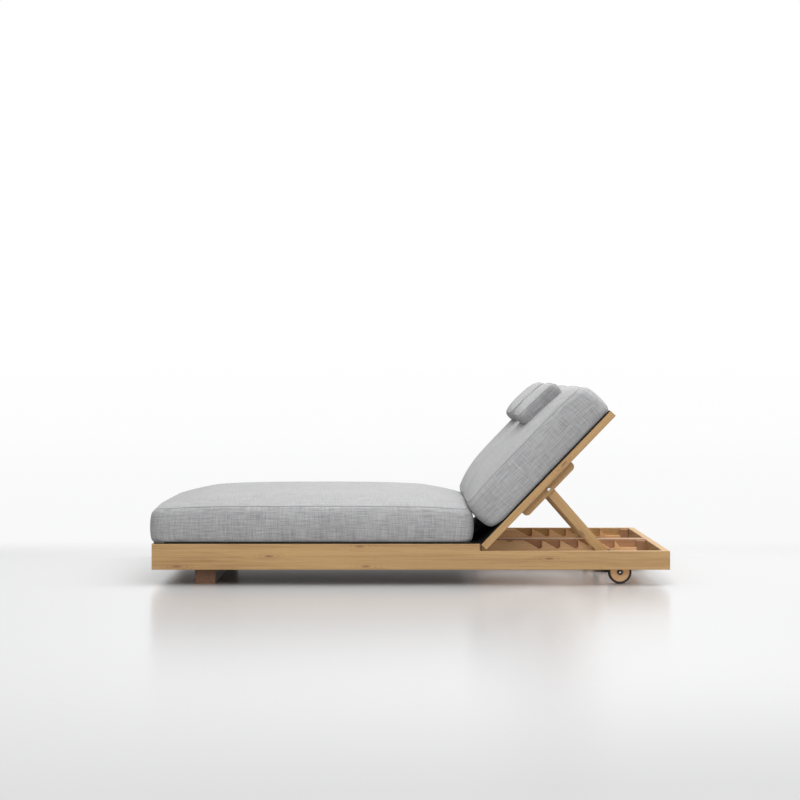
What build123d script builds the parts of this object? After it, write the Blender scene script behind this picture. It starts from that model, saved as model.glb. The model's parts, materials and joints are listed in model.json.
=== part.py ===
from build123d import *
import math
import os

# Double chaise lounger with two reclining backs, in millimetres.
# +X points to the head end, the near side is -Y, +Z is up, and the origin lies on the ground
# under the middle of the frame. The backs are drawn at their fourth notch.

# Base frame
length = 2050.0
width = 1500.0
foot_height = 61.0
seat_rail_height = 102.0
side_rail_t = 35.0
end_rail_t = 28.0
centre_beam_w = 90.0
lowered_length = 752.0
edge_ease = 1.5
overrun = 20.0

# Foot beam and the cross rails that carry it
foot_beam_w = 81.5
foot_beam_setback = 165.5
foot_beam_inset = 68.0
foot_cross_rail_h = 45.0

# Seat deck
seat_slat_w = 64.0
seat_slat_t = 20.0
seat_slat_gap = 16.0
ledger_w = 22.0
ledger_h = 30.0
mesh_t = 2.0
mesh_edge_inset = 8.0
seat_mesh_rear_gap = 11.0

# Reclining backs
rest_angle = 46.0
raise_angle = 20.0
back_t = 28.0
back_gap = 14.0
back_seat_clearance = 0.5
back_end_clearance = 1.0
back_bottom_rail_w = 60.0
back_top_rail_w = 45.0
back_slat_w = 60.0
back_slat_t = 18.0
back_slat_gap = 16.0

# Hinges between the cross rails and the backs
hinge_reach = 10.0
hinge_cross_rail_w = 40.0
hinge_leaf_t = 3.0
hinge_leaf_l = 80.0
hinge_leaf_drop = 30.0
hinge_strap_l = 43.0
hinge_barrel_r = 8.0
hinge_pin_r = 4.0
hinge_knuckle_gap = 1.0
hinge_inset = 115.0
running_fit = 0.05

# Cleats, strut bolts and struts
cleat_l = 281.0
cleat_h = 42.0
cleat_t = 22.0
cleat_corner_r = 19.0
cleat_setin = 31.0
bolt_share = 0.46676
bolt_below = 29.0
bolt_r = 5.0
bolt_head_r = 7.5
bolt_head_t = 4.5
bolt_nut_r = 9.0
bolt_nut_t = 6.0
side_play = 0.3
strut_leg_w = 36.0
strut_leg_t = 22.0
strut_leg_offset = 5.0
strut_bar_r = 10.0
strut_bar_play = 1.5
strut_end_margin = 1.0
bar_rest_z = 108.0

# Ratchet racks
rack_t = 22.0
rack_start_share = 0.21543
rack_lead = 46.6
rack_h = 69.0
rack_pitch_share = 0.10239
rack_pockets = 5
rack_rest_pocket = 4
rack_pocket_r = 12.0
rack_pocket_shift = 1.0
rack_ledge_h = 41.0
rack_ledge_slope = 22.0
corner_block_l = 38.0
pocket_entry_angle = 235.0
pocket_low_angle = 310.0
pocket_wall_angle = 15.0

# Wheels and their carriers
wheel_r = 46.8
wheel_setback = 193.0
wheel_w = 28.0
wheel_setin = 25.0
axle_r = 6.0
axle_head_r = 8.0
axle_head_t = 5.0
axle_nut_r = 10.0
axle_nut_t = 7.0
arm_t = 28.0
arm_nose_r = 20.0
arm_root_l = 35.0
wheel_cross_rail_w = 40.0
wheel_cross_rail_h = 24.0
wheel_cross_rail_setback = 100.0

# Seat cushion, one piece for both places
seat_cushion_front_inset = 5.0
seat_cushion_rear_gap = 24.0
seat_cushion_side_inset = 8.0
seat_cushion_seam_h = 147.0
seat_cushion_corner_r = 55.0
seat_crown_h = 48.0

# Back cushions, one on each back
back_cushion_start = 86.0
back_cushion_end_gap = 6.0
back_cushion_outer_inset = 7.0
back_cushion_gap = 10.0
back_cushion_seam_h = 156.0
back_cushion_corner_r = 45.0
back_crown_h = 36.0
cushion_pull_in = 12.0
cushion_press_clearance = 3.0
press_corner_r = 45.0

# Head pillows
pillow_l = 200.0
pillow_w = 440.0
pillow_crown_h = 26.0
pillow_place_share = 0.28
pillow_corner_r = 42.0
pillow_seam_h = 40.0
pillow_pull_in = 18.0

# Cushion outlines: the belly's share of the seam height, the share of the pull-in at the seam, and
# the crown's shoulders, inset by a share of the smaller half span and a share of the crown high
belly_share = 0.42
seam_pull_share = 0.8
shoulder_share = 0.34
shoulder_height_share = 0.85

# Where a quarter arc crosses its diagonal, as a share of its radius from the square corner
diagonal_share = 1 - math.sqrt(0.5)

# Levels and places that follow
half_l = length / 2
half_w = width / 2
rail_bottom = foot_height
seat_top = rail_bottom + seat_rail_height
low_top = seat_top - back_t
step_x = half_l - lowered_length
bay_outer = half_w - side_rail_t
bay_inner = centre_beam_w / 2
foot_rail_face = -half_l + end_rail_t
head_rail_face = half_l - end_rail_t
pivot_x = step_x + back_t / 2 + back_end_clearance
pivot_z = low_top + back_t / 2 + back_seat_clearance
hinge_face = pivot_x - hinge_reach
back_l = half_l - pivot_x
back_inner = back_gap / 2
bar_room = rack_t + strut_bar_play
cos_rest = math.cos(math.radians(rest_angle))
sin_rest = math.sin(math.radians(rest_angle))
bolt_along = bolt_share * back_l
bolt_x = pivot_x + bolt_along * cos_rest + bolt_below * sin_rest
bolt_z = pivot_z + bolt_along * sin_rest - bolt_below * cos_rest
leg_setin = cleat_setin + cleat_t + side_play
rack_start = step_x + rack_start_share * lowered_length
rack_pitch = rack_pitch_share * lowered_length
first_pocket_x = rack_start + rack_lead + rack_pitch - rack_pocket_r
bar_x = first_pocket_x + (rack_rest_pocket - 1) * rack_pitch - rack_pocket_shift
strut_l = math.hypot(bar_x - bolt_x, bolt_z - bar_rest_z)
strut_angle = -math.degrees(math.atan2(bolt_z - bar_rest_z, bar_x - bolt_x))
arm_setin = wheel_setin + wheel_w + side_play
wheel_x = half_l - wheel_setback
wheel_cross_rail_x = half_l - wheel_cross_rail_setback

sides = {"near": -1, "far": 1}
walls = {"outer": (bay_outer, -1), "inner": (bay_inner, 1)}

os.makedirs("parts", exist_ok=True)


def keep(piece, name):
    piece.part.label = name
    export_step(piece.part, "parts/" + name + ".step")


def board_plane(y_a, y_b, x=0.0, z=0.0, angle=0.0):
    # An upright plane on the +Y face of a board that reaches from y_a to y_b
    turn = math.radians(angle)
    return Plane(
        origin=(x, max(y_a, y_b), z),
        x_dir=(math.cos(turn), 0, math.sin(turn)),
        z_dir=(0, -1, 0),
    )


def back_plane(y_a, y_b):
    return board_plane(y_a, y_b, pivot_x, pivot_z, rest_angle)


def strut_plane(y_a, y_b):
    return board_plane(y_a, y_b, bolt_x, bolt_z, strut_angle)


def rectangle_at(low_x, high_x, low_z, high_z, mode=Mode.ADD):
    with Locations(((low_x + high_x) / 2, (low_z + high_z) / 2)):
        Rectangle(high_x - low_x, high_z - low_z, mode=mode)


def ease_board(piece):
    chamfer(piece.faces().filter_by(Axis.Y).edges(), edge_ease)


def slat_centres(low, high, slat, gap):
    count = max(2, int((high - low + gap) / (slat + gap)))
    pitch = (high - low - slat - gap) / (count - 1)
    return [low + gap / 2 + slat / 2 + pitch * i for i in range(count)]


def wall_span(side, wall, near, far):
    # Y limits of a piece that stands from near to far off one wall of a bay
    face, inward = walls[wall]
    return side * (face + inward * near), side * (face + inward * far)


# Base frame


def side_rail(side, name):
    with BuildPart() as rail:
        with BuildSketch(board_plane(side * bay_outer, side * half_w)):
            with BuildLine():
                Polyline(
                    (-half_l, rail_bottom),
                    (half_l, rail_bottom),
                    (half_l, low_top),
                    (step_x, low_top),
                    (step_x, seat_top),
                    (-half_l, seat_top),
                    close=True,
                )
            make_face()
        extrude(amount=side_rail_t)
        ease_board(rail)
    keep(rail, name)


def centre_beam():
    with BuildPart() as beam:
        with BuildSketch(board_plane(-bay_inner, bay_inner)):
            rectangle_at(foot_rail_face, head_rail_face, rail_bottom, low_top)
            rectangle_at(foot_rail_face, step_x, rail_bottom, seat_top)
        extrude(amount=centre_beam_w)
        ease_board(beam)
    keep(beam, "centre_beam")


def end_rail(low_x, top, name):
    with BuildPart() as rail:
        with BuildSketch(board_plane(-bay_outer, bay_outer)):
            rectangle_at(low_x, low_x + end_rail_t, rail_bottom, top)
        extrude(amount=2 * bay_outer)
        chamfer(rail.edges().filter_by(Axis.Y), edge_ease)
    keep(rail, name)


def cross_rails(low_x, rail_w, low_z, high_z, setin, name):
    # One rail across each bay, with its ends the set-in off the bay's walls
    with BuildPart() as rails:
        for side in sides.values():
            low_y = side * (bay_inner + setin)
            high_y = side * (bay_outer - setin)
            with BuildSketch(board_plane(low_y, high_y)):
                rectangle_at(low_x, low_x + rail_w, low_z, high_z)
            extrude(amount=abs(high_y - low_y))
        chamfer(rails.edges().filter_by(Axis.Y), edge_ease)
    keep(rails, name)


def foot_beam():
    beam_half = half_w - foot_beam_inset
    low_x = -half_l + foot_beam_setback
    with BuildPart() as beam:
        with BuildSketch(board_plane(-beam_half, beam_half)):
            rectangle_at(low_x, low_x + foot_beam_w, 0, foot_height)
        extrude(amount=2 * beam_half)
        chamfer(beam.edges().filter_by(Axis.Y), edge_ease)
        chamfer(beam.faces().filter_by(Axis.Y).edges().filter_by(Axis.Z), edge_ease)
    keep(beam, "foot_beam")
    cross_top = rail_bottom + foot_cross_rail_h
    cross_rails(low_x, foot_beam_w, rail_bottom, cross_top, 0, "foot_cross_rails")


def seat_ledgers():
    ledger_top = seat_top - seat_slat_t
    with BuildPart() as ledgers:
        for side in sides.values():
            for wall in walls:
                y_a, y_b = wall_span(side, wall, 0, ledger_w)
                with BuildSketch(board_plane(y_a, y_b)):
                    rear = hinge_face - hinge_cross_rail_w
                    rectangle_at(foot_rail_face, rear, ledger_top - ledger_h, ledger_top)
                extrude(amount=ledger_w)
    keep(ledgers, "seat_ledgers")


def seat_slats():
    centres = slat_centres(foot_rail_face, hinge_face - hinge_cross_rail_w, seat_slat_w, seat_slat_gap)
    with BuildPart() as slats:
        for side in sides.values():
            with BuildSketch(board_plane(side * bay_inner, side * bay_outer)):
                with Locations([(x, seat_top - seat_slat_t / 2) for x in centres]):
                    Rectangle(seat_slat_w, seat_slat_t)
            extrude(amount=bay_outer - bay_inner)
    keep(slats, "seat_slats")


def seat_mesh():
    reach = half_w - mesh_edge_inset
    with BuildPart() as mesh:
        with BuildSketch(board_plane(-reach, reach)):
            rear = step_x - seat_mesh_rear_gap
            rectangle_at(-half_l + mesh_edge_inset, rear, seat_top, seat_top + mesh_t)
        extrude(amount=2 * reach)
    keep(mesh, "seat_mesh")


# Ratchet racks


def pocket_point(x, angle):
    turn = math.radians(angle)
    return (x + rack_pocket_r * math.cos(turn), bar_rest_z + rack_pocket_r * math.sin(turn))


def rack_outline():
    # Each tooth ramps down to a round pocket and ends in an upright wall at the next sharp tip
    top = rail_bottom + rack_h
    ledge = rail_bottom + rack_ledge_h
    rear_x = head_rail_face - corner_block_l
    tip = (rack_start + rack_lead, top)
    Polyline((rack_start, rail_bottom), (rack_start, top), tip)
    for i in range(rack_pockets):
        x = first_pocket_x + i * rack_pitch
        entry = pocket_point(x, pocket_entry_angle)
        wall = pocket_point(x, pocket_wall_angle)
        Line(tip, entry)
        ThreePointArc(entry, pocket_point(x, pocket_low_angle), wall)
        tip = (x + rack_pocket_r, top)
        Line(wall, tip)
    ledge_x = tip[0] + rack_ledge_slope
    Polyline(tip, (ledge_x, ledge), (rear_x, ledge), (rear_x, rail_bottom), (rack_start, rail_bottom))


def racks():
    for bay, side in sides.items():
        for wall in walls:
            y_a, y_b = wall_span(side, wall, 0, rack_t)
            with BuildPart() as rack:
                with BuildSketch(board_plane(y_a, y_b)):
                    with BuildLine():
                        rack_outline()
                    make_face()
                extrude(amount=rack_t)
            keep(rack, "rack_" + bay + "_" + wall)


def corner_blocks():
    with BuildPart() as blocks:
        for side in sides.values():
            for wall in walls:
                y_a, y_b = wall_span(side, wall, 0, rack_t)
                with BuildSketch(board_plane(y_a, y_b)):
                    low_x = head_rail_face - corner_block_l
                    rectangle_at(low_x, head_rail_face, rail_bottom, rail_bottom + rack_h)
                extrude(amount=rack_t)
        chamfer(blocks.faces().group_by(Axis.Z)[-1].edges(), edge_ease)
    keep(blocks, "corner_blocks")


# Wheels


def wheels():
    # Each wheel is a wooden disc with its thin tyre, as one solid
    for bay, side in sides.items():
        for wall in walls:
            y_a, y_b = wall_span(side, wall, wheel_setin, wheel_setin + wheel_w)
            with BuildPart() as disc:
                with BuildSketch(board_plane(y_a, y_b, wheel_x, wheel_r)):
                    Circle(wheel_r)
                    Circle(axle_r + running_fit, mode=Mode.SUBTRACT)
                extrude(amount=wheel_w)
            keep(disc, "wheel_disc_" + bay + "_" + wall)


def wheel_axles():
    # Each bolt is headed outside its wheel and has a six-sided nut behind its arm
    head_face = wheel_setin - side_play
    arm_back = arm_setin + arm_t
    rounds = (
        (head_face - axle_head_t, head_face, axle_head_r),
        (head_face, arm_back, axle_r),
    )
    with BuildPart() as axles:
        for side in sides.values():
            for wall in walls:
                for near, far, radius in rounds:
                    y_a, y_b = wall_span(side, wall, near, far)
                    with BuildSketch(board_plane(y_a, y_b, wheel_x, wheel_r)):
                        Circle(radius)
                    extrude(amount=far - near)
                y_a, y_b = wall_span(side, wall, arm_back, arm_back + axle_nut_t)
                with BuildSketch(board_plane(y_a, y_b, wheel_x, wheel_r)):
                    RegularPolygon(axle_nut_r, 6)
                extrude(amount=axle_nut_t)
    keep(axles, "wheel_axles")


def wheel_arms():
    # A rounded nose round the axle, drawn out to a root that is fixed to the cross rail
    root_x = wheel_cross_rail_x - wheel_cross_rail_w
    root_top = rail_bottom + wheel_cross_rail_h
    with BuildPart() as arms:
        for side in sides.values():
            for wall in walls:
                y_a, y_b = wall_span(side, wall, arm_setin, arm_setin + arm_t)
                with BuildSketch(board_plane(y_a, y_b)):
                    with Locations((wheel_x, wheel_r)):
                        Circle(arm_nose_r)
                    rectangle_at(root_x - arm_root_l, root_x, rail_bottom, root_top)
                    make_hull()
                    with Locations((wheel_x, wheel_r)):
                        Circle(axle_r, mode=Mode.SUBTRACT)
                extrude(amount=arm_t)
    keep(arms, "wheel_arms")


# Hinges


def hinge_spans(side):
    # Y limits of the three knuckles of each hinge on one bay, and of the whole leaf
    knuckle = (hinge_leaf_l - 2 * hinge_knuckle_gap) / 3
    for place in (bay_inner + hinge_inset, bay_outer - hinge_inset):
        low = side * place - hinge_leaf_l / 2
        knuckles = []
        for i in range(3):
            start = low + i * (knuckle + hinge_knuckle_gap)
            knuckles.append((start, start + knuckle))
        yield knuckles, (low, low + hinge_leaf_l)


def fixed_hinge_leaves():
    # The pin is fast in the two outer knuckles, so each leaf and its pin are one solid
    face = -hinge_reach
    low_z = -hinge_leaf_drop
    with BuildPart() as leaves:
        for side in sides.values():
            for knuckles, (low, high) in hinge_spans(side):
                with BuildSketch(board_plane(low, high, pivot_x, pivot_z)):
                    rectangle_at(face, face + hinge_leaf_t, low_z, -hinge_barrel_r - hinge_knuckle_gap)
                    Circle(hinge_pin_r)
                extrude(amount=hinge_leaf_l)
                for start, end in (knuckles[0], knuckles[2]):
                    with BuildSketch(board_plane(start, end, pivot_x, pivot_z)):
                        Circle(hinge_barrel_r)
                        rectangle_at(face, face + hinge_leaf_t, low_z, hinge_barrel_r)
                    extrude(amount=end - start)
    keep(leaves, "fixed_hinge_leaves")


def moving_hinge_leaves(side, name):
    strap_low = -back_t / 2 - hinge_leaf_t
    plate_low = hinge_reach - hinge_leaf_t
    with BuildPart() as leaves:
        for knuckles, (low, high) in hinge_spans(side):
            with BuildSketch(back_plane(low, high)):
                rectangle_at(plate_low, plate_low + hinge_strap_l, strap_low, -back_t / 2)
            extrude(amount=hinge_leaf_l)
            start, end = knuckles[1]
            with BuildSketch(back_plane(start, end)):
                Circle(hinge_barrel_r)
                rectangle_at(plate_low, hinge_reach, strap_low, hinge_barrel_r)
                Circle(hinge_pin_r + running_fit, mode=Mode.SUBTRACT)
            extrude(amount=end - start)
    keep(leaves, name)


# Reclining backs


def back_side_rail(y_a, y_b, name):
    with BuildPart() as rail:
        with BuildSketch(back_plane(y_a, y_b)):
            rectangle_at(0, back_l, -back_t / 2, back_t / 2)
        extrude(amount=abs(y_b - y_a))
        ease_board(rail)
    keep(rail, name)


def back_cross_rail(side, low, high, name):
    with BuildPart() as rail:
        with BuildSketch(back_plane(side * bay_inner, side * bay_outer)):
            rectangle_at(low, high, -back_t / 2, back_t / 2)
        extrude(amount=bay_outer - bay_inner)
        chamfer(rail.edges().filter_by(Axis.Y), edge_ease)
    keep(rail, name)


def back_slats(side, name):
    low = hinge_reach + back_bottom_rail_w
    high = back_l - back_top_rail_w
    centres = slat_centres(low, high, back_slat_w, back_slat_gap)
    with BuildPart() as slats:
        with BuildSketch(back_plane(side * bay_inner, side * bay_outer)):
            with Locations([(x, back_t / 2 - back_slat_t / 2) for x in centres]):
                Rectangle(back_slat_w, back_slat_t)
        extrude(amount=bay_outer - bay_inner)
    keep(slats, name)


def back_mesh(side, name):
    y_a = side * (back_inner + edge_ease)
    y_b = side * (half_w - mesh_edge_inset)
    with BuildPart() as mesh:
        with BuildSketch(back_plane(y_a, y_b)):
            rectangle_at(hinge_reach, back_l - edge_ease, back_t / 2, back_t / 2 + mesh_t)
        extrude(amount=abs(y_b - y_a))
    keep(mesh, name)


def cleats(side, name):
    top = back_t / 2 - back_slat_t
    with BuildPart() as pair:
        for wall in walls:
            y_a, y_b = wall_span(side, wall, cleat_setin, cleat_setin + cleat_t)
            with BuildSketch(back_plane(y_a, y_b)):
                low_s = bolt_along - cleat_l / 2
                rectangle_at(low_s, low_s + cleat_l, top - cleat_h, top)
                fillet(vertices().group_by(Axis.Y)[0], cleat_corner_r)
                with Locations((bolt_along, -bolt_below)):
                    Circle(bolt_r, mode=Mode.SUBTRACT)
            extrude(amount=cleat_t)
    keep(pair, name)


def strut_bolts(side, name):
    # A round head on the cleat, a shank through cleat and leg, and a six-sided nut behind the leg
    nut_face = leg_setin + strut_leg_t + side_play
    rounds = (
        (cleat_setin - bolt_head_t, cleat_setin, bolt_head_r),
        (cleat_setin, nut_face, bolt_r),
    )
    with BuildPart() as bolts:
        for wall in walls:
            for near, far, radius in rounds:
                y_a, y_b = wall_span(side, wall, near, far)
                with BuildSketch(board_plane(y_a, y_b, bolt_x, bolt_z)):
                    Circle(radius)
                extrude(amount=far - near)
            y_a, y_b = wall_span(side, wall, nut_face, nut_face + bolt_nut_t)
            with BuildSketch(board_plane(y_a, y_b, bolt_x, bolt_z)):
                RegularPolygon(bolt_nut_r, 6)
            extrude(amount=bolt_nut_t)
    keep(bolts, name)


# Struts


def strut_legs(side, name):
    # Each leg leans a little off the line from bolt to bar, and ends square just past the bar
    foot_x = strut_l + strut_bar_r + strut_end_margin
    half = strut_leg_w / 2
    with BuildPart() as legs:
        for wall in walls:
            y_a, y_b = wall_span(side, wall, leg_setin, leg_setin + strut_leg_t)
            with BuildSketch(strut_plane(y_a, y_b)):
                Circle(half)
                Polygon(
                    (0, -half),
                    (foot_x, strut_leg_offset - half),
                    (foot_x, strut_leg_offset + half),
                    (0, half),
                    align=None,
                )
                Circle(bolt_r + running_fit, mode=Mode.SUBTRACT)
                with Locations((strut_l, 0)):
                    Circle(strut_bar_r, mode=Mode.SUBTRACT)
            extrude(amount=strut_leg_t)
    keep(legs, name)


def strut_bar(side, name):
    y_a = side * (bay_inner + bar_room)
    y_b = side * (bay_outer - bar_room)
    with BuildPart() as bar:
        with BuildSketch(strut_plane(y_a, y_b)):
            with Locations((strut_l, 0)):
                Circle(strut_bar_r)
        extrude(amount=abs(y_b - y_a))
    keep(bar, name)


# Cushions


def cushion_outline(span, shoulder, seam_h, crown_h, pull_in):
    # Sides drawn in at the base and at the seam, and a broad crown between two shoulders
    half = span / 2
    seam = half - seam_pull_share * pull_in
    shoulder_x = seam - shoulder
    shoulder_z = seam_h + shoulder_height_share * crown_h
    Line((pull_in - half, 0), (half - pull_in, 0))
    crown = ThreePointArc((-shoulder_x, shoulder_z), (0, seam_h + crown_h), (shoulder_x, shoulder_z))
    TangentArc(crown @ 1, (seam, seam_h), tangent=crown % 1)
    TangentArc(crown @ 0, (-seam, seam_h), tangent=-(crown % 0))
    for end in (-1, 1):
        ThreePointArc((end * (half - pull_in), 0), (end * half, belly_share * seam_h), (end * seam, seam_h))


def cushion_body(base, plan_l, plan_w, corner, seam_h, crown_h, pull_in):
    # The space that the rounded plan, the outline along it and the outline across it all share
    shoulder = shoulder_share * min(plan_l, plan_w) / 2
    rise = (shoulder, seam_h, crown_h, pull_in)
    with BuildPart() as body:
        with BuildSketch(base):
            RectangleRounded(plan_l, plan_w, corner)
        extrude(amount=seam_h + crown_h)
        with BuildSketch(Plane(origin=base.origin, x_dir=base.x_dir, z_dir=-base.y_dir)):
            with BuildLine():
                cushion_outline(plan_l, *rise)
            make_face()
        extrude(amount=plan_w / 2, both=True, mode=Mode.INTERSECT)
        with BuildSketch(Plane(origin=base.origin, x_dir=base.y_dir, z_dir=base.x_dir)):
            with BuildLine():
                cushion_outline(plan_w, *rise)
            make_face()
        extrude(amount=plan_l / 2, both=True, mode=Mode.INTERSECT)
    return body.part


def back_point(along, above, angle):
    # A point given along and above the back, in world X and Z, with the back at an angle
    turn = math.radians(angle)
    return (
        pivot_x + along * math.cos(turn) - above * math.sin(turn),
        pivot_z + along * math.sin(turn) + above * math.cos(turn),
    )


def seat_cushion():
    # Its rear top edge is eased where the back cushions lean on it at their most upright
    low_x = -half_l + seat_cushion_front_inset
    high_x = step_x - seat_cushion_rear_gap
    plan_w = width - 2 * seat_cushion_side_inset
    plan_l = high_x - low_x
    base = Plane(origin=((low_x + high_x) / 2, 0, seat_top + mesh_t))
    form = (seat_cushion_corner_r, seat_cushion_seam_h, seat_crown_h, cushion_pull_in)
    upright = rest_angle + raise_angle
    start = back_cushion_start - cushion_press_clearance
    front = back_t / 2 + mesh_t + back_cushion_seam_h + cushion_press_clearance
    with BuildPart() as cushion:
        add(cushion_body(base, plan_l, plan_w, *form))
        with BuildSketch(board_plane(-half_w, half_w)):
            with BuildLine():
                lower = back_point(start, 0, upright)
                corner_low = back_point(start, front - press_corner_r, upright)
                inset = press_corner_r * diagonal_share
                corner_mid = back_point(start + inset, front - inset, upright)
                corner_high = back_point(start + press_corner_r, front, upright)
                top = back_point(start + back_cushion_seam_h, front, upright)
                Line(lower, corner_low)
                ThreePointArc(corner_low, corner_mid, corner_high)
                Polyline(corner_high, top, lower)
            make_face()
        extrude(amount=width, mode=Mode.SUBTRACT)
    keep(cushion, "seat_cushion")


def back_cushion(side, name):
    # Its lower front edge is rounded like the ease it leans into
    low = back_cushion_start
    high = back_l + back_cushion_end_gap
    inner = back_cushion_gap / 2
    outer = half_w - back_cushion_outer_inset
    mid_s = (low + high) / 2
    mid_y = side * (inner + outer) / 2
    rise = back_t / 2 + mesh_t
    mid_x, mid_z = back_point(mid_s, rise, rest_angle)
    base = Plane(origin=(mid_x, mid_y, mid_z), x_dir=(cos_rest, 0, sin_rest), z_dir=(-sin_rest, 0, cos_rest))
    form = (back_cushion_corner_r, back_cushion_seam_h, back_crown_h, cushion_pull_in)
    front = rise + back_cushion_seam_h
    with BuildPart() as cushion:
        add(cushion_body(base, high - low, outer - inner, *form))
        with BuildSketch(back_plane(-half_w, half_w)):
            with BuildLine():
                corner_low = (low, front - press_corner_r)
                inset = press_corner_r * diagonal_share
                corner_mid = (low + inset, front - inset)
                corner_high = (low + press_corner_r, front)
                Polyline(
                    corner_low,
                    (low - overrun, front - press_corner_r),
                    (low - overrun, front + back_crown_h),
                    (low + press_corner_r, front + back_crown_h),
                    corner_high,
                )
                ThreePointArc(corner_high, corner_mid, corner_low)
            make_face()
        extrude(amount=width, mode=Mode.SUBTRACT)
    keep(cushion, name)


def head_pillow(side, name):
    # A soft block that lies on the crown's shoulder, where the cushion falls towards the head end
    low = back_cushion_start
    high = back_l + back_cushion_end_gap
    inner = back_cushion_gap / 2
    outer = half_w - back_cushion_outer_inset
    shoulder = shoulder_share * min(high - low, outer - inner) / 2
    shoulder_s = high - seam_pull_share * cushion_pull_in - shoulder
    crown_drop = (1 - shoulder_height_share) * back_crown_h
    rise = back_t / 2 + mesh_t + back_cushion_seam_h + back_crown_h - crown_drop
    touch_x, touch_z = back_point(shoulder_s, rise, rest_angle)
    turn = math.radians(rest_angle) - 2 * math.atan2(crown_drop, shoulder_s - (low + high) / 2)
    below = pillow_place_share * pillow_l
    base = Plane(
        origin=(touch_x - below * math.cos(turn), side * (inner + outer) / 2, touch_z - below * math.sin(turn)),
        x_dir=(math.cos(turn), 0, math.sin(turn)),
        z_dir=(-math.sin(turn), 0, math.cos(turn)),
    )
    form = (pillow_corner_r, pillow_seam_h, pillow_crown_h, pillow_pull_in)
    with BuildPart() as pillow:
        add(cushion_body(base, pillow_l, pillow_w, *form))
    keep(pillow, name)


for bay, side in sides.items():
    side_rail(side, "side_rail_" + bay)
centre_beam()
end_rail(-half_l, seat_top, "foot_end_rail")
end_rail(head_rail_face, low_top, "head_end_rail")
foot_beam()
cross_rails(hinge_face - hinge_cross_rail_w, hinge_cross_rail_w, rail_bottom, seat_top, 0, "hinge_cross_rails")
cross_rails(
    wheel_cross_rail_x - wheel_cross_rail_w,
    wheel_cross_rail_w,
    rail_bottom,
    rail_bottom + wheel_cross_rail_h,
    rack_t,
    "wheel_cross_rails",
)
seat_ledgers()
seat_slats()
seat_mesh()
racks()
corner_blocks()
wheels()
wheel_axles()
wheel_arms()
fixed_hinge_leaves()
seat_cushion()
for bay, side in sides.items():
    prefix = "back_" + bay + "_"
    back_side_rail(side * bay_outer, side * half_w, prefix + "outer_rail")
    back_side_rail(side * back_inner, side * bay_inner, prefix + "inner_rail")
    back_cross_rail(side, hinge_reach, hinge_reach + back_bottom_rail_w, prefix + "bottom_rail")
    back_cross_rail(side, back_l - back_top_rail_w, back_l, prefix + "top_rail")
    back_slats(side, prefix + "slats")
    back_mesh(side, prefix + "mesh")
    cleats(side, prefix + "cleats")
    strut_bolts(side, prefix + "strut_bolts")
    moving_hinge_leaves(side, prefix + "hinge_leaves")
    back_cushion(side, prefix + "cushion")
    head_pillow(side, prefix + "pillow")
    strut_legs(side, "strut_" + bay + "_legs")
    strut_bar(side, "strut_" + bay + "_bar")
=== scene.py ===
import json
import math
from typing import NamedTuple

import bmesh
import bpy
from mathutils import Euler, Matrix, Vector


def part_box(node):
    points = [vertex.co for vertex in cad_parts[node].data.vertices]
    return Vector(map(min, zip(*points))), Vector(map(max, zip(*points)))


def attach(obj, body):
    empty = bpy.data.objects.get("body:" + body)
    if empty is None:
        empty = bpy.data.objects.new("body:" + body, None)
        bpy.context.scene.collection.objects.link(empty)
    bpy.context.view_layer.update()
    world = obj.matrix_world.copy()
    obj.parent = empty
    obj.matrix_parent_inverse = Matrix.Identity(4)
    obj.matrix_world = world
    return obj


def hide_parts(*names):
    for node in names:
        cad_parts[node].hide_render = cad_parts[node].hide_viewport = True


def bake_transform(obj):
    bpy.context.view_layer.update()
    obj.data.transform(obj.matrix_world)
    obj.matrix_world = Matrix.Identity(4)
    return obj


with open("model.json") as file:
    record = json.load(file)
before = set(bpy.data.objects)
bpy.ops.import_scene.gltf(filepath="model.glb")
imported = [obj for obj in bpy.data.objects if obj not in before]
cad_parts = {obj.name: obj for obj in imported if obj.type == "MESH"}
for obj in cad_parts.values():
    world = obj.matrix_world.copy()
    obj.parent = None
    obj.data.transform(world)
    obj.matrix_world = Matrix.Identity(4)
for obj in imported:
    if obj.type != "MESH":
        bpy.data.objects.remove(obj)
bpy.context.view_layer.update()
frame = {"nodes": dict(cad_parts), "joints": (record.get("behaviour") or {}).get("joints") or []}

bl_info = {
    "name": "Double chaise lounger",
    "version": (1, 0, 0),
    "blender": (4, 5, 0),
    "location": "View3D > Sidebar > Lounger",
    "description": "Dresses the packed lounger with timber, cushions, textile, fittings and a stage",
    "category": "Object",
}

BAYS = {"near": -1, "far": 1}
ROWS = ("outer", "inner")
JOINTS = {joint["name"]: joint for joint in frame["joints"]}


def pivot_of(name):
    place = JOINTS[name]["pos_m"]
    return Vector((place[0], 0, place[2]))


BACK_PIVOT = pivot_of("back_near_recline")
BOLT_PLACE = pivot_of("strut_near_fold")
WHEEL_PLACE = pivot_of("wheel_near_outer_spin")
REST_ANGLE = math.radians(46)
STRUT_ANGLE = math.radians(49.6)


# Sizes and colours. Sizes are in metres.

TINY = 1e-6

# Angles, in degrees, past which an edge stays sharp
BOARD_CRISP, WHEEL_CRISP, STEEL_CRISP, TEXTILE_CRISP = 35, 38, 40, 50

# The plain boards between the hinges and the racks
LEAD_START = 0.302
LEAD_LAP = 0.0004
BOARD_EASE = 0.0012

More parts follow.
